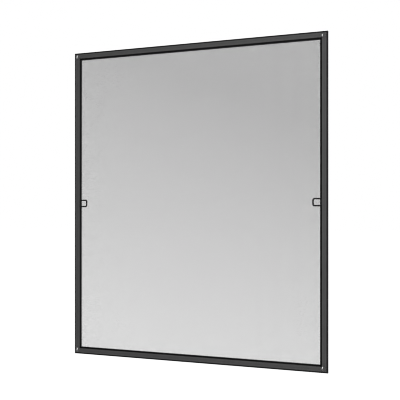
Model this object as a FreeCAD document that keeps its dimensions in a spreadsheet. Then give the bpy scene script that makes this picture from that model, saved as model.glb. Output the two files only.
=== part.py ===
# Window screen frame that hangs in front of a window: four extruded side members, push-in corner connectors,
# a woven insect mesh held in a channel by a round spline, a rubber seal all round, two pull loops and
# four hooked brackets at the rear. Millimetres, +X to the right, +Z up, the room side faces -Y.
import FreeCAD, Part
import Sketcher
import math
import os
from FreeCAD import Placement, Rotation, Vector

doc = FreeCAD.newDocument("WindowScreenFrame")
sheet = doc.addObject("Spreadsheet::Sheet", "sizes")

# Driving dimensions: name, value in millimetres (or a plain count), and what it is
SIZES = [
    ("frame_width", 1000, "over the seals, left to right"),
    ("frame_height", 1200, "over the seals, bottom to top"),
    ("profile_depth", 11, "member, front face to rear face"),
    ("box_width", 16, "hollow box of the member, the flat face that shows"),
    ("channel_width", 5.2, "open channel for the spline"),
    ("lip_wall", 1.3, "inner lip that the mesh runs over"),
    ("lip_drop", 5, "top of the lip, behind the front face"),
    ("box_wall", 1.2, "walls of the hollow box"),
    ("channel_floor", 1.3, "wall behind the channel"),
    ("bead_height", 0.35, "bead that keeps the spline in its channel"),
    ("edge_radius", 0.6, "rounding of the member's long edges"),
    ("face_groove_width", 3, "shallow groove along the face"),
    ("face_groove_depth", 0.5, "shallow groove along the face"),
    ("slot_place", 2.8, "middle of the seal's slot, in front of the rear face"),
    ("slot_mouth", 2, "opening of the seal's slot"),
    ("slot_room", 3.6, "width of the seal's slot behind its mouth"),
    ("slot_lip", 1, "wall at the mouth of the seal's slot"),
    ("slot_undercut", 1.4, "depth of the slot behind its mouth"),
    ("arm_length", 32, "connector arm inside the member"),
    ("arm_gap", 0.15, "clearance of the arm in the box"),
    ("rib_pitch", 9, "gripping ribs of the arm"),
    ("rib_groove", 3, "groove between two ribs"),
    ("rib_depth", 0.8, "depth of those grooves"),
    ("rib_count", 3, "grooves on each side of an arm"),
    ("lead_in", 1.2, "bevel at the end of an arm"),
    ("joint_bevel", 0.4, "bevel round the connector's front face"),
    ("seal_width", 5.5, "rubber seal outside the member"),
    ("seal_setback", 0.3, "seal behind the front face"),
    ("seal_lip", 2, "seal lip behind the rear face"),
    ("seal_tip", 1.6, "width of the lip's end"),
    ("seal_wall", 1.1, "wall of the hollow seal"),
    ("seal_radius", 2.2, "rounding of the seal's outer front edge"),
    ("seal_gap", 0.2, "clearance of the seal's foot in its slot"),
    ("mesh_thickness", 0.5, "mesh as a closed wall"),
    ("strand_height", 0.4, "ridge of a bundle of threads"),
    ("strand_width", 1, "ridge of a bundle of threads"),
    ("strands_per_gap", 5, "ridges from one open gap to the next"),
    ("gap_spacing", 118, "nominal distance of the open gaps"),
    ("gap_margin", 0.5, "gap inside its four ridges"),
    ("mesh_margin", 0.5, "ridges end before the frame's inner edge"),
    ("press_gap", 0.05, "clearance of the spline in its channel"),
    ("end_gap", 0.3, "between the ends of two splines"),
    ("loop_height", 30, "pull loop along the member"),
    ("loop_reach", 27, "pull loop beyond the member's inner edge"),
    ("loop_band", 5, "width of the loop's band"),
    ("loop_root", 5.1, "width of the loop's bar over the channel"),
    ("loop_thickness", 2.5, "thickness of the loop's band"),
    ("loop_radius", 8, "outer corners of the loop"),
    ("loop_lift", 0.2, "loop in front of the mesh, and off the box"),
    ("loop_rib", 3, "rib from the loop down to its bar in the channel"),
    ("loop_foot", 38, "bar of the loop in the channel"),
    ("loop_edge", 0.9, "bevel round the front of the loop's band"),
    ("bolt_inset", 9.5, "corner bolt, in from the connector's outer edges"),
    ("head_radius", 9, "domed head of the corner bolt"),
    ("head_height", 4, "domed head with its rim, on the connector's face"),
    ("head_rim", 0.8, "straight rim under the dome"),
    ("neck_width", 5.4, "square neck under the head, which stops the bolt turning"),
    ("neck_height", 3, "square neck under the head"),
    ("neck_gap", 0.1, "hole round the neck"),
    ("shank_radius", 2.5, "bolt"),
    ("shank_gap", 0.2, "hole round the bolt"),
    ("thread_gap", 0.05, "nut round the bolt"),
    ("shank_end", 1, "bolt end behind its nut"),
    ("nut_width", 8, "nut across its flats"),
    ("nut_height", 4, "nut"),
    ("bracket_thickness", 1.2, "stainless strip"),
    ("bracket_width", 14, "stainless strip"),
    ("bracket_leg", 20, "strip flat against the connector"),
    ("bracket_inset", 1, "bend inside the member's outer face"),
    ("bend_radius", 0.8, "inside of a bend"),
    ("grip_depth", 18.8, "rear face to the hook's bearing face"),
    ("hook_reach", 6, "hook beyond the seal's outer edge"),
    ("hook_corner", 3, "bevelled corners at the strip's ends"),
]
for row, (name, size, meaning) in enumerate(SIZES, start=1):
    sheet.set(f"A{row}", name)
    sheet.set(f"B{row}", str(size))
    sheet.setAlias(f"B{row}", name)
    sheet.set(f"C{row}", meaning)
doc.recompute()

# Lines of the frame's section, measured inwards from the seal's outer edge (u) or back from the face (v)
PROFILE_START = "sizes.seal_width"
BOX_END = "(sizes.seal_width + sizes.box_width)"
LIP_START = "(sizes.seal_width + sizes.box_width + sizes.channel_width)"
BAND = "(sizes.seal_width + sizes.box_width + sizes.channel_width + sizes.lip_wall)"
SLOT_BACK = "(sizes.seal_width + sizes.slot_lip + sizes.slot_undercut)"
ROOM_START = f"({SLOT_BACK} + sizes.box_wall)"
ROOM_END = f"({BOX_END} - sizes.box_wall)"
HEM_LINE = f"({LIP_START} - sizes.mesh_thickness)"
SLOT_LINE = "(sizes.profile_depth - sizes.slot_place)"
FLOOR_LINE = "(sizes.profile_depth - sizes.channel_floor)"
MESH_FRONT = "(sizes.lip_drop - sizes.mesh_thickness)"
SPLINE_RADIUS = "((sizes.channel_width - sizes.mesh_thickness) / 2 - sizes.press_gap)"
SPLINE_U = f"({BOX_END} + (sizes.channel_width - sizes.mesh_thickness) / 2)"
SPLINE_V = f"({FLOOR_LINE} - sizes.mesh_thickness - (sizes.channel_width - sizes.mesh_thickness) / 2)"
HOOK_END = "(sizes.profile_depth + sizes.grip_depth + sizes.bracket_thickness)"
FRONT_Y = f"(-({HOOK_END} - sizes.head_height) / 2)"
CORNER_CENTRE = "(sizes.seal_width + sizes.bolt_inset)"
BOLT_X = f"(sizes.frame_width / 2 - {CORNER_CENTRE})"
BOLT_Z = f"(sizes.frame_height / 2 - {CORNER_CENTRE})"
CLEAR_WIDTH = f"(sizes.frame_width - 2 * {BAND})"
CLEAR_HEIGHT = f"(sizes.frame_height - 2 * {BAND})"

# The four sides: name, turn about Y, the corner that the side starts from, and its length over the seals
SIDES = [
    ("left", 0, (-1, -1), "sizes.frame_height"),
    ("top", 90, (-1, 1), "sizes.frame_width"),
    ("right", 180, (1, 1), "sizes.frame_height"),
    ("bottom", 270, (1, -1), "sizes.frame_width"),
]
CORNERS = {"left": "bottom_left", "top": "top_left", "right": "top_right", "bottom": "bottom_right"}
PLANES = {"uv": "XY_Plane", "uw": "XZ_Plane", "vw": "YZ_Plane"}


def number(expression):
    return float(sheet.evalExpression(expression))


def new_body(name, turn, place):
    """A piece with its own label, turned about Y and placed by three expressions."""
    body = doc.addObject("PartDesign::Body", name)
    body.Label = name
    body.Placement = Placement(Vector(), Rotation(Vector(0, 1, 0), turn))
    for axis, expression in zip("xyz", place):
        body.setExpression(f"Placement.Base.{axis}", expression)
    return body


def side_body(name, side):
    """A piece in the frame of one side: u inwards, v backwards and w along it from its first corner."""
    title, turn, (right, up), length = side
    place = (f"{right} * sizes.frame_width / 2", FRONT_Y, f"{up} * sizes.frame_height / 2")
    return new_body(name, turn, place)


def new_sketch(body, name, plane, away="0", across="0", along="0"):
    """An empty sketch in a plane of the piece, moved along the third direction and within the plane."""
    sketch = body.newObject("Sketcher::SketchObject", name)
    role = PLANES[plane]
    support = next(item for item in body.Origin.OriginFeatures if item.Role == role)
    sketch.AttachmentSupport = [(support, "")]
    sketch.MapMode = "FlatFace"
    sign = "-" if plane == "uw" else ""
    for axis, expression in (("x", across), ("y", along), ("z", f"{sign}({away})")):
        sketch.setExpression(f"AttachmentOffset.Base.{axis}", expression)
    return sketch


def hold_point(sketch, edge, end, across, along):
    """Ties one end of an edge to the two expressions."""
    for kind, expression in (("DistanceX", across), ("DistanceY", along)):
        rule = sketch.addConstraint(Sketcher.Constraint(kind, -1, 1, edge, end, number(expression)))
        sketch.renameConstraint(rule, f"{kind[-1]}_{edge}_{end}")
        sketch.setExpression(f"Constraints.{kind[-1]}_{edge}_{end}", expression)


def add_outline(sketch, corners):
    """A closed outline of straight edges through corners given as pairs of expressions."""
    points = [Vector(number(across), number(along), 0) for across, along in corners]
    first = sketch.GeometryCount
    count = len(corners)
    for i in range(count):
        sketch.addGeometry(Part.LineSegment(points[i], points[(i + 1) % count]), False)
    for i in range(count):
        sketch.addConstraint(Sketcher.Constraint("Coincident", first + i, 2, first + (i + 1) % count, 1))
    for i, (across, along) in enumerate(corners):
        hold_point(sketch, first + i, 1, across, along)


def add_rectangle(sketch, low, high):
    add_outline(sketch, [low, (high[0], low[1]), high, (low[0], high[1])])


def add_circle(sketch, centre, radius):
    spot = Vector(number(centre[0]), number(centre[1]), 0)
    ring = sketch.addGeometry(Part.Circle(spot, Vector(0, 0, 1), number(radius)), False)
    hold_point(sketch, ring, 3, *centre)
    rule = sketch.addConstraint(Sketcher.Constraint("Radius", ring, number(radius)))
    sketch.renameConstraint(rule, f"R_{ring}")
    sketch.setExpression(f"Constraints.R_{ring}", radius)


def add_square(sketch, centre, width):
    low = tuple(f"{spot} - {width} / 2" for spot in centre)
    high = tuple(f"{spot} + {width} / 2" for spot in centre)
    add_rectangle(sketch, low, high)


def add_hexagon(sketch, width):
    """A six-sided outline about the origin, flats facing up and down."""
    side = f"{width} / sqrt(3)"
    half = f"{width} / 2"
    corners = [(side, "0"), (f"{side} / 2", half), (f"-{side} / 2", half)]
    corners += [(f"-{side}", "0"), (f"-{side} / 2", f"-{half}"), (f"{side} / 2", f"-{half}")]
    add_outline(sketch, corners)


def add_pad(body, sketch, length):
    """Adds material from a sketch, backwards from a sketch in the u-w plane."""
    pad = body.newObject("PartDesign::Pad", f"{sketch.Name}_pad")
    pad.Profile = sketch
    pad.setExpression("Length", length)
    pad.Reversed = sketch.AttachmentSupport[0][0].Role == "XZ_Plane"
    return pad


def add_pocket(body, sketch, length):
    """Cuts a sketch into the piece, towards growing u, v or w."""
    pocket = body.newObject("PartDesign::Pocket", f"{sketch.Name}_pocket")
    pocket.Profile = sketch
    pocket.setExpression("Length", length)
    pocket.Reversed = sketch.AttachmentSupport[0][0].Role != "XZ_Plane"
    return pocket


def add_row(body, feature, sketch, axis, length, count):
    """Repeats a feature along an axis of its sketch."""
    row = body.newObject("PartDesign::LinearPattern", f"{feature.Name}_row")
    row.Originals = [feature]
    row.Direction = (sketch, [axis])
    row.setExpression("Length", length)
    row.setExpression("Occurrences", count)
    body.Tip = row
    return row


def add_grid(body, originals, sketch, lines):
    """Repeats features in a grid; each line is an axis of the sketch, an overall length and a count."""
    grid = body.newObject("PartDesign::MultiTransform", f"{originals[0].Name}_grid")
    grid.Originals = originals
    steps = []
    for axis, length, count in lines:
        step = body.newObject("PartDesign::LinearPattern", f"{originals[0].Name}_{axis}")
        step.Direction = (sketch, [axis])
        step.setExpression("Length", length)
        step.setExpression("Occurrences", count)
        steps.append(step)
    grid.Transformations = steps
    body.Tip = grid
    return grid


def edges_through(feature, test):
    """The names of the edges whose every point passes the test, in the piece's own directions."""
    names = []
    for i, edge in enumerate(feature.Shape.Edges, start=1):
        if all(test(vertex.Point) for vertex in edge.Vertexes):
            names.append(f"Edge{i}")
    return names


def near(first, second):
    return abs(first - second) < 1e-4


def soften(body, feature, kind, names, size):
    """A Fillet or Chamfer of the named edges."""
    soft = body.newObject(f"PartDesign::{kind}", f"{feature.Name}_{kind.lower()}")
    soft.Base = (feature, names)
    soft.setExpression("Radius" if kind == "Fillet" else "Size", size)
    doc.recompute()
    return soft


def slot_outline(gap="0"):
    """The seal's slot, or the seal's foot when a gap is given, from the member's outer face inwards."""
    mouth = f"(sizes.slot_mouth / 2 - {gap})"
    room = f"(sizes.slot_room / 2 - {gap})"
    throat = f"({PROFILE_START} + sizes.slot_lip + {gap})"
    back = f"({SLOT_BACK} - {gap})"
    return [
        (PROFILE_START, f"{SLOT_LINE} - {mouth}"),
        (throat, f"{SLOT_LINE} - {mouth}"),
        (throat, f"{SLOT_LINE} - {room}"),
        (back, f"{SLOT_LINE} - {room}"),
        (back, f"{SLOT_LINE} + {room}"),
        (throat, f"{SLOT_LINE} + {room}"),
        (throat, f"{SLOT_LINE} + {mouth}"),
        (PROFILE_START, f"{SLOT_LINE} + {mouth}"),
    ]


def make_profile(side):
    """An extruded member: hollow box with a grooved face, seal slot outside, channel and lip inside."""
    body = side_body(f"profile_{side[0]}", side)
    sketch = new_sketch(body, f"section_{side[0]}", "uv", BAND)
    groove = f"({PROFILE_START} + sizes.box_width / 2)"
    outline = [
        (PROFILE_START, "0"),
        (f"{groove} - sizes.face_groove_width / 2", "0"),
        (f"{groove} - sizes.face_groove_width / 2", "sizes.face_groove_depth"),
        (f"{groove} + sizes.face_groove_width / 2", "sizes.face_groove_depth"),
        (f"{groove} + sizes.face_groove_width / 2", "0"),
        (BOX_END, "0"),
        (BOX_END, MESH_FRONT),
        (f"{BOX_END} + sizes.bead_height", f"{MESH_FRONT} + sizes.bead_height"),
        (BOX_END, f"{MESH_FRONT} + 3 * sizes.bead_height"),
        (BOX_END, FLOOR_LINE),
        (LIP_START, FLOOR_LINE),
        (LIP_START, "sizes.lip_drop"),
        (BAND, "sizes.lip_drop"),
        (BAND, "sizes.profile_depth"),
        (PROFILE_START, "sizes.profile_depth"),
    ]
    add_outline(sketch, outline + slot_outline()[::-1])
    add_rectangle(sketch, (ROOM_START, "sizes.box_wall"), (ROOM_END, "sizes.profile_depth - sizes.box_wall"))
    pad = add_pad(body, sketch, f"{side[3]} - 2 * {BAND}")
    doc.recompute()
    start, box_end, band = number(PROFILE_START), number(BOX_END), number(BAND)
    depth = number("sizes.profile_depth")
    lines = [(start, 0), (box_end, 0), (start, depth), (band, depth)]
    names = []
    for u, v in lines:
        names += edges_through(pad, lambda point: near(point.x, u) and near(point.y, v))
    soften(body, pad, "Fillet", names, "sizes.edge_radius")
    return body


def make_arm(body, plane, name):
    """One ribbed arm of a connector, along w from the u-v plane or along u from the v-w plane."""
    low = (f"{ROOM_START} + sizes.arm_gap", "sizes.box_wall + sizes.arm_gap")
    high = (f"{ROOM_END} - sizes.arm_gap", "sizes.profile_depth - sizes.box_wall - sizes.arm_gap")
    arm = new_sketch(body, f"{name}_section", plane, BAND)
    along_w = plane == "uv"
    if along_w:
        add_rectangle(arm, low, high)
    else:
        add_rectangle(arm, low[::-1], high[::-1])
    add_pad(body, arm, "sizes.arm_length")
    ribs = new_sketch(body, f"{name}_ribs", "uw", "0")
    start = f"{BAND} + sizes.rib_pitch - sizes.rib_groove"
    for edge, inside in ((low[0], "+ sizes.rib_depth"), (high[0], "- sizes.rib_depth")):
        sides = sorted((edge, f"{edge} {inside}"), key=number)
        near_corner, far_corner = (sides[0], start), (sides[1], f"{start} + sizes.rib_groove")
        if along_w:
            add_rectangle(ribs, near_corner, far_corner)
        else:
            add_rectangle(ribs, near_corner[::-1], far_corner[::-1])
    cut = add_pocket(body, ribs, "sizes.profile_depth")
    axis = "V_Axis" if along_w else "H_Axis"
    return add_row(body, cut, ribs, axis, "(sizes.rib_count - 1) * sizes.rib_pitch", "sizes.rib_count")


def make_connector(side):
    """A moulded corner: a square block with the channel turning round its inner corner, and two arms."""
    name = CORNERS[side[0]]
    body = side_body(f"corner_connector_{name}", side)
    block = new_sketch(body, f"block_{name}", "uw")
    add_rectangle(block, (PROFILE_START, PROFILE_START), (BAND, BAND))
    add_pad(body, block, "sizes.profile_depth")
    channel = new_sketch(body, f"channel_{name}", "uw")
    turn = [(BOX_END, BOX_END), (BAND, BOX_END), (BAND, LIP_START)]
    turn += [(LIP_START, LIP_START), (LIP_START, BAND), (BOX_END, BAND)]
    add_outline(channel, turn)
    add_pocket(body, channel, FLOOR_LINE)
    lip = new_sketch(body, f"lip_{name}", "uw")
    add_rectangle(lip, (LIP_START, LIP_START), (BAND, BAND))
    add_pocket(body, lip, "sizes.lip_drop")
    slot = new_sketch(body, f"slot_{name}", "uv")
    add_outline(slot, slot_outline())
    add_pocket(body, slot, BAND)
    cross_slot = new_sketch(body, f"cross_slot_{name}", "vw")
    add_outline(cross_slot, [(v, u) for u, v in slot_outline()])
    add_pocket(body, cross_slot, BAND)
    hole = new_sketch(body, f"hole_{name}", "uw")
    add_circle(hole, (CORNER_CENTRE, CORNER_CENTRE), "sizes.shank_radius + sizes.shank_gap")
    add_pocket(body, hole, "sizes.profile_depth")
    neck = new_sketch(body, f"neck_{name}", "uw")
    add_square(neck, (CORNER_CENTRE, CORNER_CENTRE), "(sizes.neck_width + 2 * sizes.neck_gap)")
    add_pocket(body, neck, "sizes.neck_height + sizes.neck_gap")
    make_arm(body, "uv", f"arm_w_{name}")
    ribbed = make_arm(body, "vw", f"arm_u_{name}")
    doc.recompute()
    arm_end = number(f"{BAND} + sizes.arm_length")
    ends = edges_through(ribbed, lambda point: near(point.x, arm_end))
    ends += edges_through(ribbed, lambda point: near(point.z, arm_end))
    bevelled = soften(body, ribbed, "Chamfer", ends, "sizes.lead_in")
    start, band = number(PROFILE_START), number(BAND)
    rim = edges_through(bevelled, lambda point: near(point.y, 0) and near(point.x, start))
    rim += edges_through(bevelled, lambda point: near(point.y, 0) and near(point.z, start))
    rim += edges_through(bevelled, lambda point: near(point.y, 0) and near(point.x, band))
    rim += edges_through(bevelled, lambda point: near(point.y, 0) and near(point.z, band))
    soften(body, bevelled, "Chamfer", rim, "sizes.joint_bevel")
    return body


def make_seal(side):
    """A hollow rubber strip with a foot in the member's slot and a lip behind it, mitred at both ends."""
    name = f"seal_{side[0]}"
    body = side_body(name, side)
    sketch = new_sketch(body, f"{name}_section", "uv")
    tip_middle = "sizes.seal_width / 2"
    outline = [("0", "sizes.seal_setback"), (PROFILE_START, "sizes.seal_setback")]
    outline += slot_outline("sizes.seal_gap")
    outline += [
        (PROFILE_START, "sizes.profile_depth"),
        (f"{tip_middle} + sizes.seal_tip / 2", "sizes.profile_depth + sizes.seal_lip"),
        (f"{tip_middle} - sizes.seal_tip / 2", "sizes.profile_depth + sizes.seal_lip"),
        ("0", "sizes.profile_depth"),
    ]
    add_outline(sketch, outline)
    low = ("sizes.seal_wall", "sizes.seal_setback + sizes.seal_wall")
    high = ("sizes.seal_width - sizes.seal_wall", "sizes.profile_depth - sizes.seal_wall")
    add_rectangle(sketch, low, high)
    strip = add_pad(body, sketch, side[3])
    doc.recompute()
    setback = number("sizes.seal_setback")
    names = edges_through(strip, lambda point: near(point.x, 0) and near(point.y, setback))
    soften(body, strip, "Fillet", names, "sizes.seal_radius")
    mitre = new_sketch(body, f"{name}_mitre", "uw")
    add_outline(mitre, [("0", "0"), (BAND, "0"), (BAND, BAND)])
    add_outline(mitre, [("0", side[3]), (BAND, f"{side[3]} - {BAND}"), (BAND, side[3])])
    add_pocket(body, mitre, "sizes.profile_depth + sizes.seal_lip")
    return body


def make_spline(name, side, start, length):
    """A round rubber cord pressed into the channel on top of the mesh's hem."""
    body = side_body(name, side)
    sketch = new_sketch(body, f"{name}_section", "uv", start)
    add_circle(sketch, (SPLINE_U, SPLINE_V), SPLINE_RADIUS)
    add_pad(body, sketch, length)
    return body


def make_splines(side):
    """One cord along the top and bottom; two on each upright, with the pull loop's bar between them."""
    title, length = side[0], side[3]
    if title in ("top", "bottom"):
        start = f"{BOX_END} + sizes.press_gap"
        return [make_spline(f"spline_{title}", side, start, f"{length} - 2 * ({start})")]
    start = f"{HEM_LINE} + sizes.press_gap"
    half = f"{length} / 2 - sizes.loop_foot / 2 - sizes.end_gap - ({start})"
    second = f"{length} / 2 + sizes.loop_foot / 2 + sizes.end_gap"
    ends = ("lower", "upper") if title == "left" else ("upper", "lower")
    return [
        make_spline(f"spline_{title}_{ends[0]}", side, start, half),
        make_spline(f"spline_{title}_{ends[1]}", side, second, half),
    ]


def add_ring(body, name, outer, inner, start, length):
    """A rectangular ring whose outer and inner edges lie that far inside the frame's outline."""
    sketch = new_sketch(body, name, "uw", start)
    for inset in (outer, inner):
        half_width = f"(sizes.frame_width / 2 - {inset})"
        half_height = f"(sizes.frame_height / 2 - {inset})"
        add_rectangle(sketch, (f"-{half_width}", f"-{half_height}"), (half_width, half_height))
    return add_pad(body, sketch, length)


def make_mesh():
    """The woven mesh: a thin wall with a ridge for each bundle of threads, upright ones in front and level
    ones behind, and open gaps in a regular grid. Its edge turns over the lip and lies under the spline."""
    body = new_body("insect_mesh", 0, ("0", FRONT_Y, "0"))
    wall = new_sketch(body, "mesh_wall", "uw", MESH_FRONT)
    half_width = f"(sizes.frame_width / 2 - {HEM_LINE})"
    half_height = f"(sizes.frame_height / 2 - {HEM_LINE})"
    add_rectangle(wall, (f"-{half_width}", f"-{half_height}"), (half_width, half_height))
    add_pad(body, wall, "sizes.mesh_thickness")
    add_ring(body, "mesh_fold", HEM_LINE, LIP_START, MESH_FRONT, f"{FLOOR_LINE} - {MESH_FRONT}")
    hem_start = f"({BOX_END} + sizes.press_gap)"
    hem_top = f"({FLOOR_LINE} - sizes.mesh_thickness)"
    add_ring(body, "mesh_hem", hem_start, LIP_START, hem_top, "sizes.mesh_thickness")

    columns = f"(round({CLEAR_WIDTH} / sizes.gap_spacing) * sizes.strands_per_gap)"
    rows = f"(round({CLEAR_HEIGHT} / sizes.gap_spacing) * sizes.strands_per_gap)"
    step_x = f"({CLEAR_WIDTH} / {columns})"
    step_z = f"({CLEAR_HEIGHT} / {rows})"
    end_x = f"({CLEAR_WIDTH} / 2 - sizes.mesh_margin)"
    end_z = f"({CLEAR_HEIGHT} / 2 - sizes.mesh_margin)"
    first_x = f"(-{CLEAR_WIDTH} / 2 + {step_x})"
    first_z = f"(-{CLEAR_HEIGHT} / 2 + {step_z})"
    half_strand = "sizes.strand_width / 2"
    upright = new_sketch(body, "upright_strand", "uw", f"{MESH_FRONT} - sizes.strand_height")
    low = (f"{first_x} - {half_strand}", f"-{end_z}")
    add_rectangle(upright, low, (f"{first_x} + {half_strand}", end_z))
    ridge = add_pad(body, upright, "sizes.strand_height")
    add_row(body, ridge, upright, "H_Axis", f"{CLEAR_WIDTH} - 2 * {step_x}", f"{columns} - 1")
    level = new_sketch(body, "level_strand", "uw", "sizes.lip_drop")
    low = (f"-{end_x}", f"{first_z} - {half_strand}")
    add_rectangle(level, low, (end_x, f"{first_z} + {half_strand}"))
    ridge = add_pad(body, level, "sizes.strand_height")
    add_row(body, ridge, level, "V_Axis", f"{CLEAR_HEIGHT} - 2 * {step_z}", f"{rows} - 1")

    gap = new_sketch(body, "gap", "uw", MESH_FRONT)
    inset = f"({half_strand} + sizes.gap_margin)"
    cell = "(floor(sizes.strands_per_gap / 2))"
    low_x = f"(-{CLEAR_WIDTH} / 2 + {cell} * {step_x})"
    low_z = f"(-{CLEAR_HEIGHT} / 2 + {cell} * {step_z})"
    low = (f"{low_x} + {inset}", f"{low_z} + {inset}")
    high = (f"{low_x} + {step_x} - {inset}", f"{low_z} + {step_z} - {inset}")
    add_rectangle(gap, low, high)
    hole = add_pocket(body, gap, "sizes.mesh_thickness")
    per_gap = "sizes.strands_per_gap"
    add_grid(body, [hole], gap, [
        ("H_Axis", f"{CLEAR_WIDTH} - {per_gap} * {step_x}", f"{columns} / {per_gap}"),
        ("V_Axis", f"{CLEAR_HEIGHT} - {per_gap} * {step_z}", f"{rows} / {per_gap}"),
    ])
    return body


def make_loop(side):
    """A pull loop: a flat rounded band over the mesh, with a rib and a round bar in the channel."""
    title, turn, (right, up), length = side
    name = f"pull_loop_{title}"
    body = new_body(name, turn, (f"{right} * sizes.frame_width / 2", FRONT_Y, "0"))
    band_rear = f"({MESH_FRONT} - sizes.strand_height - sizes.loop_lift)"
    band_front = f"({band_rear} - sizes.loop_thickness)"
    root = f"({BOX_END} + sizes.loop_lift)"
    tip = f"({BAND} + sizes.loop_reach)"
    half = "(sizes.loop_height / 2)"
    inner_half = "(sizes.loop_height / 2 - sizes.loop_band)"
    band = new_sketch(body, f"{name}_band", "uw", band_front)
    add_rectangle(band, (root, f"-{half}"), (tip, half))
    inner_low, inner_high = f"({root} + sizes.loop_root)", f"({tip} - sizes.loop_band)"
    add_rectangle(band, (inner_low, f"-{inner_half}"), (inner_high, inner_half))
    plate = add_pad(body, band, "sizes.loop_thickness")
    doc.recompute()
    reach, opening = number(tip), number(inner_high)
    names = edges_through(plate, lambda point: near(point.x, reach))
    upright = [n for n in names if abs(plate.Shape.getElement(n).tangentAt(0).y) > 0.9]
    rounded = soften(body, plate, "Fillet", upright, "sizes.loop_radius")
    names = edges_through(rounded, lambda point: near(point.x, opening))
    upright = [n for n in names if abs(rounded.Shape.getElement(n).tangentAt(0).y) > 0.9]
    rounded = soften(body, rounded, "Fillet", upright, "sizes.loop_radius - sizes.loop_band")
    front, start = number(band_front), number(root)
    rims = edges_through(rounded, lambda point: near(point.y, front))
    rims = [n for n in rims if abs(rounded.Shape.getElement(n).tangentAt(0).y) < 0.1]
    rims = [n for n in rims if not all(near(v.Point.x, start) for v in rounded.Shape.getElement(n).Vertexes)]
    soften(body, rounded, "Chamfer", rims, "sizes.loop_edge")
    rib = new_sketch(body, f"{name}_rib", "uw", f"({band_front} + {band_rear}) / 2")
    rib_low = (f"{SPLINE_U} - sizes.loop_rib / 2", f"-{half}")
    add_rectangle(rib, rib_low, (f"{SPLINE_U} + sizes.loop_rib / 2", half))
    add_pad(body, rib, f"{SPLINE_V} - ({band_front} + {band_rear}) / 2")
    foot = new_sketch(body, f"{name}_foot", "uv", "-sizes.loop_foot / 2")
    add_circle(foot, (SPLINE_U, SPLINE_V), SPLINE_RADIUS)
    add_pad(body, foot, "sizes.loop_foot")
    return body


def make_bracket(name, right, up):
    """A hooked strip: a leg under the connector, back past the window's rim, and out behind it."""
    body = new_body(f"hanging_bracket_{name}", 90 if up > 0 else 270, (
        f"{right} * (sizes.frame_width / 2 - {CORNER_CENTRE})", FRONT_Y, f"{up} * sizes.frame_height / 2"))
    strip = new_sketch(body, f"strip_{name}", "uv", "-sizes.bracket_width / 2")
    web = f"({PROFILE_START} + sizes.bracket_inset)"
    leg_end = f"({web} + sizes.bracket_leg)"
    bearing = f"({HOOK_END} - sizes.bracket_thickness)"
    rear = "sizes.profile_depth"
    leg_rear = f"({rear} + sizes.bracket_thickness)"
    web_rear = f"({web} + sizes.bracket_thickness)"
    outline = [(web, rear), (leg_end, rear), (leg_end, leg_rear), (web_rear, leg_rear)]
    outline += [(web_rear, HOOK_END), ("-sizes.hook_reach", HOOK_END)]
    outline += [("-sizes.hook_reach", bearing), (web, bearing)]
    add_outline(strip, outline)
    pad = add_pad(body, strip, "sizes.bracket_width")
    doc.recompute()
    web_u, web_rear_u = number(web), number(web_rear)
    inner_bends = [(web_rear_u, number(leg_rear)), (web_u, number(bearing))]
    outer_bends = [(web_u, number(rear)), (web_rear_u, number(HOOK_END))]
    for bends, radius in (
        (inner_bends, "sizes.bend_radius"),
        (outer_bends, "sizes.bend_radius + sizes.bracket_thickness"),
    ):
        names = []
        for u, v in bends:
            names += edges_through(pad, lambda point: near(point.x, u) and near(point.y, v))
        pad = soften(body, pad, "Fillet", names, radius)
    ends = (number(leg_end), number("-sizes.hook_reach"))
    names = edges_through(pad, lambda point: near(point.x, ends[0]) or near(point.x, ends[1]))
    names = [n for n in names if abs(pad.Shape.getElement(n).tangentAt(0).y) > 0.9]
    soften(body, pad, "Chamfer", names, "sizes.hook_corner")
    hole = new_sketch(body, f"bracket_hole_{name}", "uw")
    add_circle(hole, (CORNER_CENTRE, "0"), "sizes.shank_radius + sizes.shank_gap")
    add_pocket(body, hole, leg_rear)
    return body


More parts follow.
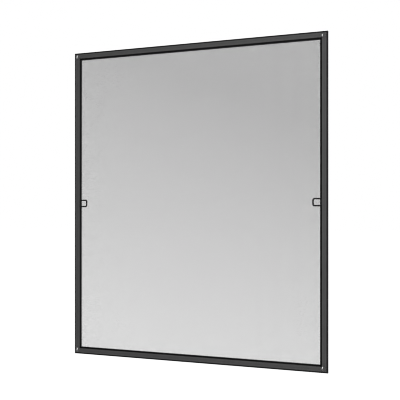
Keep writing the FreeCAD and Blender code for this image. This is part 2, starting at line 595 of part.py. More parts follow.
def make_bolts():
    """The four corner bolts: a wide plain dome, a square neck that stops it turning, and a plain shank."""
    body = new_body("corner_bolts", 0, ("0", FRONT_Y, "0"))
    body.AllowCompound = True
    half = new_sketch(body, "turned_bolt", "uv", f"-{BOLT_Z}", f"-{BOLT_X}")
    rise = "(sizes.head_height - sizes.head_rim)"
    dome_radius = number(f"(sizes.head_radius ^ 2 + {rise} ^ 2) / (2 * {rise})")
    end = "(sizes.profile_depth + sizes.bracket_thickness + sizes.nut_height + sizes.shank_end)"
    corners = [
        ("sizes.head_radius", "-sizes.head_rim"),
        ("sizes.head_radius", "0"),
        ("sizes.shank_radius", "0"),
        ("sizes.shank_radius", end),
        ("0", end),
        ("0", "-sizes.head_height"),
    ]
    points = [Vector(number(across), number(along), 0) for across, along in corners]
    last = len(corners) - 2
    for i in range(last + 1):
        half.addGeometry(Part.LineSegment(points[i], points[i + 1]), False)
    for i in range(last):
        half.addConstraint(Sketcher.Constraint("Coincident", i, 2, i + 1, 1))
    for i, (across, along) in enumerate(corners[:-1]):
        hold_point(half, i, 1, across, along)
    hold_point(half, last, 2, *corners[-1])
    centre = Vector(0, points[-1].y + dome_radius, 0)
    circle = Part.Circle(centre, Vector(0, 0, 1), dome_radius)
    rim_angle = math.atan2(points[0].y - centre.y, points[0].x)
    dome = half.addGeometry(Part.ArcOfCircle(circle, -math.pi / 2, rim_angle), False)
    half.addConstraint(Sketcher.Constraint("Coincident", dome, 1, last, 2))
    half.addConstraint(Sketcher.Constraint("Coincident", dome, 2, 0, 1))
    half.addConstraint(Sketcher.Constraint("PointOnObject", dome, 3, -2))
    bolt = body.newObject("PartDesign::Revolution", "bolt")
    bolt.Profile = half
    bolt.ReferenceAxis = (half, ["V_Axis"])
    bolt.Angle = 360
    square = new_sketch(body, "bolt_neck", "uw")
    add_square(square, (f"(-{BOLT_X})", f"(-{BOLT_Z})"), "sizes.neck_width")
    neck = add_pad(body, square, "sizes.neck_height")
    lines = [("H_Axis", f"2 * {BOLT_X}", "2"), ("V_Axis", f"2 * {BOLT_Z}", "2")]
    add_grid(body, [bolt, neck], square, lines)
    return body


def make_nuts():
    """The four plain six-sided nuts behind the brackets' legs."""
    body = new_body("bracket_nuts", 0, ("0", FRONT_Y, "0"))
    body.AllowCompound = True
    rear = "(sizes.profile_depth + sizes.bracket_thickness)"
    outline = new_sketch(body, "nut_outline", "uw", rear, f"-{BOLT_X}", f"-{BOLT_Z}")
    add_hexagon(outline, "sizes.nut_width")
    add_circle(outline, ("0", "0"), "sizes.shank_radius + sizes.thread_gap")
    nut = add_pad(body, outline, "sizes.nut_height")
    lines = [("H_Axis", f"2 * {BOLT_X}", "2"), ("V_Axis", f"2 * {BOLT_Z}", "2")]
    add_grid(body, [nut], outline, lines)
    return body


pieces = []
for side in SIDES:
    pieces.append(make_profile(side))
    pieces.append(make_connector(side))
    pieces.append(make_seal(side))
    pieces += make_splines(side)
pieces.append(make_mesh())
pieces.append(make_loop(SIDES[0]))
pieces.append(make_loop(SIDES[2]))
for up, level in ((1, "top"), (-1, "bottom")):
    for right, hand in ((-1, "left"), (1, "right")):
        pieces.append(make_bracket(f"{level}_{hand}", right, up))
groups = [make_bolts(), make_nuts()]
doc.recompute()

for item in doc.Objects:
    if "Invalid" in item.State or "Error" in item.State:
        raise RuntimeError(f"{item.Name} did not build: {item.State}")
os.makedirs("parts", exist_ok=True)
for piece in pieces + groups:
    solids = len(SIDES) if piece in groups else 1
    if piece.Shape.isNull() or not piece.Shape.isValid() or len(piece.Shape.Solids) != solids:
        raise RuntimeError(f"{piece.Label} is not sound: {len(piece.Shape.Solids)} solids")
for piece in pieces + groups:
    piece.Shape.exportStep(f"parts/{piece.Label}.step")
print(len(pieces + groups), "nodes written")
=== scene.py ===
# A dark framed insect screen that hangs in front of a window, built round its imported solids.
# Metres; +X is to the right seen from the room, +Z up, and the room side faces -Y.
import math

import bmesh
import bpy
from mathutils import Matrix, Vector


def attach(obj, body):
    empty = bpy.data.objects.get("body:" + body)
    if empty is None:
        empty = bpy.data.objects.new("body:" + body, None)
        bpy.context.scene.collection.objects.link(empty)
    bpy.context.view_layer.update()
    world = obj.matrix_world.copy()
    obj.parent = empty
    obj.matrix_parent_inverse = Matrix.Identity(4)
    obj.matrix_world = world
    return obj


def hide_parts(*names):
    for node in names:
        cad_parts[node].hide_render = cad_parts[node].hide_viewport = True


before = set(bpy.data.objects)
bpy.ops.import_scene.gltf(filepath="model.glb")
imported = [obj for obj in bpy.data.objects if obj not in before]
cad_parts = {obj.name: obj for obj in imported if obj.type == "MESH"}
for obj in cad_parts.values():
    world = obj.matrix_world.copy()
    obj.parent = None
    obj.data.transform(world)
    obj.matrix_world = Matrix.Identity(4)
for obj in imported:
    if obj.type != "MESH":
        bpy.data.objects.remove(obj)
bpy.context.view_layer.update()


# The camera stands to the right of the frame and a little below its middle, and looks level. Its view is
# shifted a little instead of tilted, so the uprights stay upright in the picture.
CAMERA_PLACE = (0.7508, -2.1982, -0.039)
CAMERA_TURN = math.radians(18.29)
LEVEL = math.radians(90)
photo_camera = bpy.data.cameras.new("photo_camera")
photo_camera.lens = 55.44
photo_camera.sensor_width = 36
photo_camera.shift_y = 0.033
viewpoint = bpy.data.objects.new("viewpoint", photo_camera)
viewpoint.location = CAMERA_PLACE
viewpoint.rotation_euler = (LEVEL, 0, CAMERA_TURN)
bpy.context.collection.objects.link(viewpoint)
bpy.context.scene.camera = viewpoint


# The four members are extruded aluminium with a fine matt powder coat. Each is pushed onto the arms of two
# corner pieces. The coat has the slight orange peel and the grain of baked powder.
def grey(level):
    """A neutral colour of that brightness."""
    return (level, level, level, 1)


def new_finish(name, roughness, specular, metallic=0):
    """A material with one Principled shader; returns both."""
    material = bpy.data.materials.new(name)
    material.use_nodes = True
    shader = material.node_tree.nodes["Principled BSDF"]
    shader.inputs["Roughness"].default_value = roughness
    shader.inputs["Specular IOR Level"].default_value = specular
    shader.inputs["Metallic"].default_value = metallic
    return material, shader


def add_node(tree, kind, **settings):
    """A node of a tree. Settings in small letters are the node's own, and the others are its sockets."""
    node = tree.nodes.new(kind)
    for name, value in settings.items():
        if name.islower():
            setattr(node, name, value)
        else:
            node.inputs[name.replace("_", " ")].default_value = value
    return node


def link_sockets(tree, pairs):
    """Links the first socket of each pair to the second."""
    for source, target in pairs:
        tree.links.new(source, target)


def mottle(material, shader, dark, light, scale):
    """Lets the base colour wander between two greys, in that many patches to the metre, on Object
    coordinates; returns the coordinates."""
    tree = material.node_tree
    place = add_node(tree, "ShaderNodeTexCoord")
    noise = add_node(tree, "ShaderNodeTexNoise", Scale=scale, Detail=3.0)
    ramp = add_node(tree, "ShaderNodeValToRGB")
    ramp.color_ramp.elements[0].position = 0.3
    ramp.color_ramp.elements[0].color = grey(dark)
    ramp.color_ramp.elements[1].position = 0.7
    ramp.color_ramp.elements[1].color = grey(light)
    link_sockets(tree, (
        (place.outputs["Object"], noise.inputs["Vector"]),
        (noise.outputs["Fac"], ramp.inputs["Fac"]),
        (ramp.outputs["Color"], shader.inputs["Base Color"]),
    ))
    return place


def grain(material, shader, place, scale, depth, stretch=(1, 1, 1)):
    """A fine bump of that many grains to the metre and that depth, drawn out where stretch is small."""
    tree = material.node_tree
    drawn = add_node(tree, "ShaderNodeMapping", Scale=stretch)
    noise = add_node(tree, "ShaderNodeTexNoise", Scale=scale, Detail=2.0)
    bump = add_node(tree, "ShaderNodeBump", Distance=depth, Strength=0.5)
    link_sockets(tree, (
        (place.outputs["Object"], drawn.inputs["Vector"]),
        (drawn.outputs["Vector"], noise.inputs["Vector"]),
        (noise.outputs["Fac"], bump.inputs["Height"]),
        (bump.outputs["Normal"], shader.inputs["Normal"]),
    ))


def finish_nodes(names, material):
    """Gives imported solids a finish."""
    for name in names:
        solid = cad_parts[name]
        solid.data.materials.clear()
        solid.data.materials.append(material)


MM = 0.001
MEMBERS = [f"profile_{side}" for side in ("left", "top", "right", "bottom")]
powder_coat, coat_shader = new_finish("powder_coat", roughness=0.5, specular=0.15)
coat_place = mottle(powder_coat, coat_shader, dark=0.046, light=0.052, scale=40)
grain(powder_coat, coat_shader, coat_place, scale=2500, depth=0.05 * MM)
finish_nodes(MEMBERS, powder_coat)


# The four corner pieces are moulded in filled nylon, coloured to match the members. Their arms are hidden
# in the members, and a fine joint with a bevel shows where the two meet.
CORNERS = ("bottom_left", "top_left", "top_right", "bottom_right")
moulded_nylon, nylon_shader = new_finish("moulded_nylon", roughness=0.5, specular=0.15)
nylon_place = mottle(moulded_nylon, nylon_shader, dark=0.045, light=0.051, scale=90)
grain(moulded_nylon, nylon_shader, nylon_place, scale=4000, depth=0.03 * MM)
finish_nodes([f"corner_connector_{corner}" for corner in CORNERS], moulded_nylon)


# The seal is a hollow strip of black rubber round the outside, mitred at the corners. Its foot sits in the
# members' slot and its lip meets the window frame behind. The left strip is painted paler, as painted light
# for the light that falls on it from the left.
def rubber(name, dark, light):
    """Dull rubber with a fine grain and no shine."""
    material, shader = new_finish(name, roughness=0.7, specular=0)
    place = mottle(material, shader, dark, light, scale=60)
    grain(material, shader, place, scale=1800, depth=0.04 * MM)
    return material


seal_rubber = rubber("seal_rubber", dark=0.012, light=0.016)
# Painted light: the left strip's rubber is paler, for the light that falls on it from the left.
painted_light_rubber = rubber("painted_light_rubber", dark=0.036, light=0.042)
finish_nodes(["seal_top", "seal_right", "seal_bottom"], seal_rubber)
finish_nodes(["seal_left"], painted_light_rubber)


# The insect mesh is a fine cloth of coated yarn, with its upright threads in front of its level ones. Its
# edge runs over the lip of each member, down into the channel and out under the spline.
YARN_WIDTH = 0.4 * MM
YARN_DEPTH = 0.16 * MM
YARN_PITCH = 1.2 * MM
YARN_PLAY = 0.01 * MM
HALF_WIDTH = 500 * MM
HALF_HEIGHT = 600 * MM
MEMBER_WIDTH = 28 * MM
LIP_LINE = 26.7 * MM
HEM_END = 22 * MM
LIP_FRONT = -8.5 * MM
CHANNEL_FLOOR = -3.8 * MM
FLAT_CORD = ((-1, 0), (-0.5, 1), (0.5, 1), (1, 0), (0.5, -1), (-0.5, -1))


def yarn_path(half, layer):
    """Half of a thread's way, from its end under the spline to the edge of the opening: how far from the
    middle of the frame, and how far back. Layer 0 lies on the lip, layer 1 in front of it."""
    lift = (layer + 0.5) * (YARN_DEPTH + YARN_PLAY)
    return [
        (half - HEM_END, CHANNEL_FLOOR - lift),
        (half - LIP_LINE + lift, CHANNEL_FLOOR - lift),
        (half - LIP_LINE + lift, LIP_FRONT - lift),
    ]


def join_rings(mesh, low, high):
    """Closes the gap between two rings of as many points each."""
    for i in range(len(low)):
        mesh.faces.new((low[i - 1], low[i], high[i], high[i - 1]))


def new_piece(name, mesh):
    """An object from a finished bmesh, which is freed."""
    data = bpy.data.meshes.new(name)
    mesh.to_mesh(data)
    mesh.free()
    piece = bpy.data.objects.new(name, data)
    bpy.context.collection.objects.link(piece)
    return piece


def yarn(name, half, layer, upright):
    """One whole thread as a flat six-sided cord with four bends."""
    half_way = yarn_path(half, layer)
    way = half_way + [(-along, back) for along, back in reversed(half_way)]
    mesh = bmesh.new()
    rings = []
    for i, (along, back) in enumerate(way):
        here = Vector((along, back))
        before = (here - Vector(way[i - 1])).normalized() if i else None
        after = (Vector(way[i + 1]) - here).normalized() if i + 1 < len(way) else None
        first, second = before or after, after or before
        out_first, out_second = Vector((first.y, -first.x)), Vector((second.y, -second.x))
        out = (out_first + out_second).normalized()
        out /= out.dot(out_first)
        ring = []
        for across, depth in FLAT_CORD:
            spot = here + out * depth * YARN_DEPTH / 2
            side = across * YARN_WIDTH / 2
            ring.append(mesh.verts.new((side, spot.y, spot.x) if upright else (spot.x, spot.y, side)))
        rings.append(ring)
    for low, high in zip(rings, rings[1:]):
        join_rings(mesh, low, high)
    mesh.faces.new(rings[0])
    mesh.faces.new(rings[-1])
    bmesh.ops.recalc_face_normals(mesh, faces=mesh.faces)
    return new_piece(name, mesh)


def new_tree(name, inputs):
    """A node tree that makes a piece; returns it, its input node and its named inputs' identifiers."""
    tree = bpy.data.node_groups.new(name, "GeometryNodeTree")
    identifiers = {}
    for label, kind in inputs:
        socket = tree.interface.new_socket(label, in_out="INPUT", socket_type=f"NodeSocket{kind}")
        identifiers[label] = socket.identifier
    tree.interface.new_socket("Piece", in_out="OUTPUT", socket_type="NodeSocketGeometry")
    return tree, add_node(tree, "NodeGroupInput"), identifiers


def end_tree(tree, tree_in, last):
    """Ends a tree: makes what leaves the last socket real and gives it the material of the tree's input."""
    real = add_node(tree, "GeometryNodeRealizeInstances")
    finished = add_node(tree, "GeometryNodeSetMaterial")
    tree_out = add_node(tree, "NodeGroupOutput")
    link_sockets(tree, (
        (last, real.inputs["Geometry"]),
        (real.outputs["Geometry"], finished.inputs["Geometry"]),
        (tree_in.outputs["Material"], finished.inputs["Material"]),
        (finished.outputs["Geometry"], tree_out.inputs["Piece"]),
    ))


def run_tree(piece, tree, identifiers, values):
    """Runs a piece through a tree with those values and keeps the result as its plain mesh."""
    step = piece.modifiers.new(tree.name, "NODES")
    step.node_group = tree
    for label, value in values.items():
        step[identifiers[label]] = value
    bpy.context.view_layer.update()
    seen = piece.evaluated_get(bpy.context.evaluated_depsgraph_get())
    plain = bpy.data.meshes.new_from_object(seen)
    piece.modifiers.clear()
    piece.data = plain
    return piece


row_tree, row_in, row_inputs = new_tree("row_of_threads", (
    ("Thread", "Geometry"),
    ("Count", "Int"),
    ("First", "Vector"),
    ("Step", "Vector"),
    ("Material", "Material"),
))
row_line = add_node(row_tree, "GeometryNodeMeshLine", mode="OFFSET")
row_copies = add_node(row_tree, "GeometryNodeInstanceOnPoints")
link_sockets(row_tree, (
    (row_in.outputs["Count"], row_line.inputs["Count"]),
    (row_in.outputs["First"], row_line.inputs["Start Location"]),
    (row_in.outputs["Step"], row_line.inputs["Offset"]),
    (row_line.outputs["Mesh"], row_copies.inputs["Points"]),
    (row_in.outputs["Thread"], row_copies.inputs["Instance"]),
))
end_tree(row_tree, row_in, row_copies.outputs["Instances"])


def row_of_threads(name, upright, material):
    """All the threads of one direction, at an even pitch over the whole cloth."""
    half, span = (HALF_HEIGHT, HALF_WIDTH) if upright else (HALF_WIDTH, HALF_HEIGHT)
    reach = span - LIP_LINE - YARN_WIDTH
    count = 2 * math.floor(reach / YARN_PITCH) + 1
    start = -(count - 1) / 2 * YARN_PITCH
    thread = yarn(name, half, 1 if upright else 0, upright)
    return run_tree(thread, row_tree, row_inputs, {
        "Count": count,
        "First": (start, 0, 0) if upright else (0, 0, start),
        "Step": (YARN_PITCH, 0, 0) if upright else (0, 0, YARN_PITCH),
        "Material": material,
    })


# The yarn's colour carries painted light: paler towards the bottom left of the frame, as if lit from there,
# and painted shade where it lies on the members. Its painted light follows a height that rises by LEAN for
# each metre to the right.
LEAN = 0.39
PALE_HEIGHT = -0.65
DARK_HEIGHT = 0.46
PAINTED_LIGHT_GREY = 0.43
HEM_SHADE_GREY = 0.01
coated_yarn, yarn_shader = new_finish("coated_yarn", roughness=0.6, specular=0.1)
yarn_tree = coated_yarn.node_tree
yarn_place = add_node(yarn_tree, "ShaderNodeTexCoord")
yarn_split = add_node(yarn_tree, "ShaderNodeSeparateXYZ")
yarn_height = add_node(yarn_tree, "ShaderNodeMath", operation="MULTIPLY_ADD")
yarn_height.inputs[1].default_value = LEAN
yarn_shade = add_node(yarn_tree, "ShaderNodeMapRange", From_Min=PALE_HEIGHT, From_Max=DARK_HEIGHT)
yarn_ramp = add_node(yarn_tree, "ShaderNodeValToRGB")
yarn_ramp.color_ramp.elements[0].color = grey(PAINTED_LIGHT_GREY)
yarn_ramp.color_ramp.elements[1].color = grey(0)
# Painted shade: the yarn over the members is made nearly black, for the shade under the lip and in the
# channel.
yarn_hem_shade = add_node(yarn_tree, "ShaderNodeMath", operation="MAXIMUM")
yarn_mix = add_node(yarn_tree, "ShaderNodeMix", data_type="RGBA", B=grey(HEM_SHADE_GREY))
link_sockets(yarn_tree, (
    (yarn_place.outputs["Object"], yarn_split.inputs["Vector"]),
    (yarn_split.outputs["X"], yarn_height.inputs[0]),
    (yarn_split.outputs["Z"], yarn_height.inputs[2]),
    (yarn_height.outputs["Value"], yarn_shade.inputs["Value"]),
    (yarn_shade.outputs["Result"], yarn_ramp.inputs["Fac"]),
    (yarn_ramp.outputs["Color"], yarn_mix.inputs["A"]),
    (yarn_hem_shade.outputs["Value"], yarn_mix.inputs["Factor"]),
    (yarn_mix.outputs["Result"], yarn_shader.inputs["Base Color"]),
))
for i, (direction, half) in enumerate((("X", HALF_WIDTH), ("Z", HALF_HEIGHT))):
    distance = add_node(yarn_tree, "ShaderNodeMath", operation="ABSOLUTE")
    beyond = add_node(yarn_tree, "ShaderNodeMath", operation="GREATER_THAN")
    beyond.inputs[1].default_value = half - MEMBER_WIDTH
    link_sockets(yarn_tree, (
        (yarn_split.outputs[direction], distance.inputs[0]),
        (distance.outputs["Value"], beyond.inputs[0]),
        (beyond.outputs["Value"], yarn_hem_shade.inputs[i]),
    ))
grain(coated_yarn, yarn_shader, yarn_place, scale=6000, depth=0.02 * MM)

insect_cloth = row_of_threads("insect_cloth", True, coated_yarn)
level_threads = row_of_threads("level_threads", False, coated_yarn)
cloth_mesh = bmesh.new()
cloth_mesh.from_mesh(insect_cloth.data)
cloth_mesh.from_mesh(level_threads.data)
cloth_mesh.to_mesh(insect_cloth.data)
cloth_mesh.free()
bpy.data.objects.remove(level_threads)
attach(insect_cloth, "root")
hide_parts("insect_mesh")


# The spline is a cord of black rubber with ribs along it that holds the cloth in its channel. One length
# runs along the top and one along the bottom. Each upright has two, with the pull loop's bar between them.
CORD_RIBS = 14
RIB_HEIGHT = 0.25 * MM
cord_rubber = rubber("cord_rubber", dark=0.004, light=0.007)

cord_tree, cord_in, cord_inputs = new_tree("ribbed_cord", (
    ("Start", "Vector"),
    ("End", "Vector"),
    ("Radius", "Float"),
    ("Valley Radius", "Float"),
    ("Ribs", "Int"),
    ("Material", "Material"),
))
cord_line = add_node(cord_tree, "GeometryNodeCurvePrimitiveLine")
cord_section = add_node(cord_tree, "GeometryNodeCurveStar")
cord_sweep = add_node(cord_tree, "GeometryNodeCurveToMesh", Fill_Caps=True)
link_sockets(cord_tree, (
    (cord_in.outputs["Start"], cord_line.inputs["Start"]),
    (cord_in.outputs["End"], cord_line.inputs["End"]),
    (cord_in.outputs["Ribs"], cord_section.inputs["Points"]),
    (cord_in.outputs["Radius"], cord_section.inputs["Outer Radius"]),
    (cord_in.outputs["Valley Radius"], cord_section.inputs["Inner Radius"]),
    (cord_line.outputs["Curve"], cord_sweep.inputs["Curve"]),
    (cord_section.outputs["Curve"], cord_sweep.inputs["Profile Curve"]),
))
end_tree(cord_tree, cord_in, cord_sweep.outputs["Mesh"])


def ribbed_cord(name, solid):
    """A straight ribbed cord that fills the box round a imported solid."""
    spots = [solid.matrix_world @ vertex.co for vertex in solid.data.vertices]
    low = [min(spot[i] for spot in spots) for i in range(3)]
    high = [max(spot[i] for spot in spots) for i in range(3)]
    along = max(range(3), key=lambda i: high[i] - low[i])
    radius = min(high[i] - low[i] for i in range(3)) / 2
    start = [(low[i] + high[i]) / 2 for i in range(3)]
    end = list(start)
    start[along], end[along] = low[along], high[along]
    piece = run_tree(new_piece(name, bmesh.new()), cord_tree, cord_inputs, {
        "Start": start,
        "End": end,
        "Radius": radius,
        "Valley Radius": radius - RIB_HEIGHT,
        "Ribs": CORD_RIBS,
        "Material": cord_rubber,
    })
    mesh = bmesh.new()
    mesh.from_mesh(piece.data)
    bmesh.ops.recalc_face_normals(mesh, faces=mesh.faces)
    mesh.to_mesh(piece.data)
    mesh.free()
    return piece


for place in ("top", "bottom", "left_lower", "left_upper", "right_lower", "right_upper"):
    cord = ribbed_cord(f"cord_{place}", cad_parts[f"spline_{place}"])
    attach(cord, "root")
    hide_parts(f"spline_{place}")


# The two pull loops are black plastic. Each is a flat rounded band with a bar that is pressed into the
# channel in place of the spline, so that the frame can be pulled off by hand.
loop_plastic, loop_shader = new_finish("loop_plastic", roughness=0.45, specular=0.12)
loop_place = mottle(loop_plastic, loop_shader, dark=0.004, light=0.006, scale=100)
grain(loop_plastic, loop_shader, loop_place, scale=3000, depth=0.02 * MM)
finish_nodes(["pull_loop_left", "pull_loop_right"], loop_plastic)


# Each hanging bracket is a strip of stainless steel, bent twice. Its leg lies under the corner piece, and
# its hook takes hold behind the rim of the window frame. The steel keeps upright marks from its rolling.
ROLLED_UPRIGHT = (1, 1, 0.03)
strip_steel, strip_shader = new_finish("strip_steel", roughness=0.3, specular=0.5, metallic=1)
strip_place = mottle(strip_steel, strip_shader, dark=0.5, light=0.6, scale=30)
grain(strip_steel, strip_shader, strip_place, scale=4000, depth=0.02 * MM, stretch=ROLLED_UPRIGHT)
finish_nodes([f"hanging_bracket_{corner}" for corner in CORNERS], strip_steel)


# The corner bolts have a wide plain dome with a gloss coat, and a square neck that keeps them from turning
# while the nut behind the bracket is done up.
DOME_RADIUS = 9 * MM
DOME_FRONT = -17.5 * MM
DOME_RISE = 3.2 * MM
RIM_HEIGHT = 0.8 * MM
DOME_STEPS = 12
SHANK_RADIUS = 2.5 * MM
NECK_WIDTH = 5.4 * MM
NECK_HEIGHT = 3 * MM
BOLT_END = 3.7 * MM
THREAD_START = -5.7 * MM
THREAD_PITCH = 0.8 * MM
THREAD_DEPTH = 0.3 * MM
BOLT_SIDES = 64
BOLT_X = 485 * MM
BOLT_Z = 585 * MM
gloss_coat, gloss_shader = new_finish("gloss_coat", roughness=0.18, specular=0.5)
mottle(gloss_coat, gloss_shader, dark=0.02, light=0.024, scale=50)


def coach_bolt(name):
    """One bolt on the Y axis, turned from its outline, with its square neck."""
    ball = (DOME_RADIUS**2 + DOME_RISE**2) / (2 * DOME_RISE)
    rim = math.asin(DOME_RADIUS / ball)
    outline = []
    for i in range(1, DOME_STEPS + 1):
        angle = rim * i / DOME_STEPS
        outline.append((ball * math.sin(angle), DOME_FRONT + ball * (1 - math.cos(angle))))
    seat = DOME_FRONT + DOME_RISE + RIM_HEIGHT
    outline += [(DOME_RADIUS, seat), (SHANK_RADIUS, seat)]
    for i in range(math.floor((BOLT_END - THREAD_START) / THREAD_PITCH)):
        crest = THREAD_START + i * THREAD_PITCH
        outline += [(SHANK_RADIUS, crest), (SHANK_RADIUS - THREAD_DEPTH, crest + THREAD_PITCH / 2)]
    outline.append((SHANK_RADIUS - THREAD_DEPTH, BOLT_END))
    mesh = bmesh.new()
    turns = [2 * math.pi * i / BOLT_SIDES for i in range(BOLT_SIDES)]
    rings = []
    for radius, along in outline:
        spots = [(radius * math.cos(turn), along, radius * math.sin(turn)) for turn in turns]
        rings.append([mesh.verts.new(spot) for spot in spots])
    for low, high in zip(rings, rings[1:]):
        join_rings(mesh, low, high)
    for ring, end in ((rings[0], DOME_FRONT), (rings[-1], BOLT_END)):
        middle = mesh.verts.new((0, end, 0))
        for i in range(BOLT_SIDES):
            mesh.faces.new((ring[i - 1], ring[i], middle))
    neck_middle = Matrix.Translation((0, seat + NECK_HEIGHT / 2, 0))
    neck_size = Matrix.Diagonal((NECK_WIDTH, NECK_HEIGHT, NECK_WIDTH, 1))
    bmesh.ops.create_cube(mesh, size=1, matrix=neck_middle @ neck_size)
    bmesh.ops.recalc_face_normals(mesh, faces=mesh.faces)
    for face in mesh.faces:
        face.smooth = face.calc_center_median().y < seat - RIM_HEIGHT
    return new_piece(name, mesh)


corner_tree, corner_in, corner_inputs = new_tree("four_corners", (
    ("Fastener", "Geometry"),
    ("Width", "Float"),
    ("Height", "Float"),
    ("Material", "Material"),
))
corner_grid = add_node(corner_tree, "GeometryNodeMeshGrid", Vertices_X=2, Vertices_Y=2)
corner_upright = add_node(corner_tree, "GeometryNodeTransform", Rotation=(math.radians(90), 0, 0))
corner_copies = add_node(corner_tree, "GeometryNodeInstanceOnPoints")
link_sockets(corner_tree, (
    (corner_in.outputs["Width"], corner_grid.inputs["Size X"]),
    (corner_in.outputs["Height"], corner_grid.inputs["Size Y"]),
    (corner_grid.outputs["Mesh"], corner_upright.inputs["Geometry"]),
    (corner_upright.outputs["Geometry"], corner_copies.inputs["Points"]),
    (corner_in.outputs["Fastener"], corner_copies.inputs["Instance"]),
))
end_tree(corner_tree, corner_in, corner_copies.outputs["Instances"])


def at_four_corners(piece, material):
    """Repeats a fastener at the four corners and makes it a plain mesh."""
    values = {"Width": 2 * BOLT_X, "Height": 2 * BOLT_Z, "Material": material}
    return run_tree(piece, corner_tree, corner_inputs, values)


dome_bolts = at_four_corners(coach_bolt("dome_bolts"), gloss_coat)
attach(dome_bolts, "root")
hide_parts("corner_bolts")


# The nuts behind the brackets are plain stainless hexagons, with their corners turned off on both faces.
# Each is done up against the bracket's leg and clamps it to the corner piece.
NUT_WIDTH = 8 * MM
NUT_HEIGHT = 4 * MM
NUT_FRONT = -1.3 * MM
NUT_BORE = 2.55 * MM
NUT_POINTS = 48
NUT_FACE_SHARE = 0.96
NUT_TURNED_ANGLE = math.radians(25)
nut_steel, nut_shader = new_finish("nut_steel", roughness=0.28, specular=0.5, metallic=1)
mottle(nut_steel, nut_shader, dark=0.52, light=0.62, scale=60)


def plain_nut(name):
    """One nut on the Y axis. Its bore, face and six-sided wall are a ring of points each, front and rear,
    and the rings are joined all the way round."""
    mesh = bmesh.new()
    half_flat = NUT_WIDTH / 2
    face_radius = NUT_FACE_SHARE * half_flat
    sixth = math.pi / 3
    front, rear = ([], [], []), ([], [], [])
    for i in range(NUT_POINTS):
        angle = 2 * math.pi * i / NUT_POINTS
        wall = half_flat / math.cos(angle % sixth - sixth / 2)
        turned = (wall - face_radius) * math.tan(NUT_TURNED_ANGLE)
        for ring, (radius, inside) in enumerate(((NUT_BORE, 0), (face_radius, 0), (wall, turned))):
            across, up = radius * math.cos(angle), radius * math.sin(angle)
            front[ring].append(mesh.verts.new((across, NUT_FRONT + inside, up)))
            rear[ring].append(mesh.verts.new((across, NUT_FRONT + NUT_HEIGHT - inside, up)))
    rings = [*front, *reversed(rear)]
    for low, high in zip([rings[-1], *rings], rings):
        join_rings(mesh, low, high)
    bmesh.ops.recalc_face_normals(mesh, faces=mesh.faces)
    return new_piece(name, mesh)


plain_nuts = at_four_corners(plain_nut("plain_nuts"), nut_steel)
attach(plain_nuts, "root")
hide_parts("bracket_nuts")


# A plain white floor lies well under the hung frame. Eyes and gloss see it nearly as white as the backdrop,
# with a faint soft shadow of the frame. It casts none itself, so a lamp may reach below it.
FLOOR_HALF = 30
FLOOR_LEVEL = -1.0
SEEN_WHITE = 0.9


def seen_rays(tree):
    """A socket that is 1 for the rays of the eye and of gloss, and 0 for the rest."""
    ray = add_node(tree, "ShaderNodeLightPath")
    either = add_node(tree, "ShaderNodeMath", operation="MAXIMUM")
    link_sockets(tree, (
        (ray.outputs["Is Camera Ray"], either.inputs[0]),
        (ray.outputs["Is Glossy Ray"], either.inputs[1]),
    ))
    return either.outputs["Value"]


floor_mesh = bmesh.new()
bmesh.ops.create_grid(floor_mesh, x_segments=1, y_segments=1, size=FLOOR_HALF)
floor = new_piece("floor", floor_mesh)
floor.location.z = FLOOR_LEVEL
floor.visible_shadow = False
floor_paint = bpy.data.materials.new("floor_paint")
floor_paint.use_nodes = True
floor_tree = floor_paint.node_tree
floor_tree.nodes.clear()
floor_matt = add_node(floor_tree, "ShaderNodeBsdfDiffuse", Color=grey(0.8))
floor_white = add_node(floor_tree, "ShaderNodeEmission", Strength=1.1)
floor_share = add_node(floor_tree, "ShaderNodeMath", operation="MULTIPLY")
floor_share.inputs[1].default_value = SEEN_WHITE
floor_mix = add_node(floor_tree, "ShaderNodeMixShader")
floor_out = add_node(floor_tree, "ShaderNodeOutputMaterial")
link_sockets(floor_tree, (
    (seen_rays(floor_tree), floor_share.inputs[0]),
    (floor_share.outputs["Value"], floor_mix.inputs["Fac"]),
    (floor_matt.outputs["BSDF"], floor_mix.inputs[1]),
    (floor_white.outputs["Emission"], floor_mix.inputs[2]),
    (floor_mix.outputs["Shader"], floor_out.inputs["Surface"]),
))
floor.data.materials.append(floor_paint)


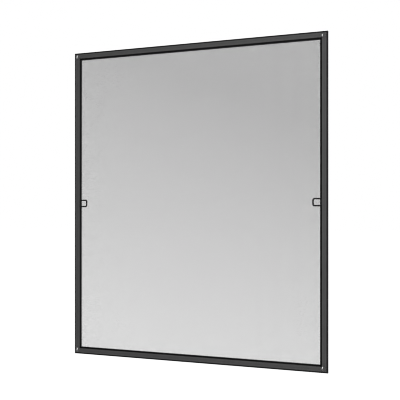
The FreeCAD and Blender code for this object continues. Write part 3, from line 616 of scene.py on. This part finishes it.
# The studio is a white room, dimmed for all but the eye and gloss. A wide soft lamp stands in front on the
# right. A tall strip far to the left, just behind the frame, catches only edges. A very tall lamp far to
# the front left shows only as a highlight on the domes.
studio = bpy.data.worlds.new("studio")
studio.use_nodes = True
bpy.context.scene.world = studio
air_tree = studio.node_tree
air_tree.nodes.clear()
fill_light = add_node(air_tree, "ShaderNodeBackground", Color=grey(1), Strength=0.25)
white_room = add_node(air_tree, "ShaderNodeBackground", Color=grey(1), Strength=1)
air_mix = add_node(air_tree, "ShaderNodeMixShader")
air_out = add_node(air_tree, "ShaderNodeOutputWorld")
link_sockets(air_tree, (
    (seen_rays(air_tree), air_mix.inputs["Fac"]),
    (fill_light.outputs["Background"], air_mix.inputs[1]),
    (white_room.outputs["Background"], air_mix.inputs[2]),
    (air_mix.outputs["Shader"], air_out.inputs["Surface"]),
))


def soft_lamp(name, place, aim, width, height, power):
    """A rectangular lamp that faces a point and isn't seen itself."""
    data = bpy.data.lights.new(name, "AREA")
    data.shape = "RECTANGLE"
    data.size = width
    data.size_y = height
    data.energy = power
    lamp = bpy.data.objects.new(name, data)
    lamp.location = place
    lamp.visible_camera = False
    lamp.rotation_euler = (Vector(aim) - Vector(place)).to_track_quat("-Z", "Y").to_euler()
    bpy.context.collection.objects.link(lamp)
    return lamp


front_lamp = soft_lamp("front_lamp", (1.5, -2.4, 1.0), aim=(0.2, 0, 0), width=2.2, height=1.6, power=102)
front_lamp.visible_glossy = False
soft_lamp("left_strip", (-5.9, 1.04, 0.9), aim=(0, 0, 0), width=0.8, height=2.6, power=150)
gloss_strip = soft_lamp("gloss_strip", (-9, -9, 1.2), aim=(0, 0, 1.2), width=4.8, height=26, power=8700)
gloss_strip.visible_diffuse = False
strip_reach = bpy.data.collections.new("strip_reach")
strip_reach.objects.link(dome_bolts)
gloss_strip.light_linking.receiver_collection = strip_reach

# A narrow filter keeps thin edges crisp, and the denoiser reads colours alone, so that the mesh looks even.
scene = bpy.context.scene
scene.view_settings.view_transform = "Standard"
scene.cycles.filter_width = 1.0
scene.cycles.denoising_input_passes = "RGB"
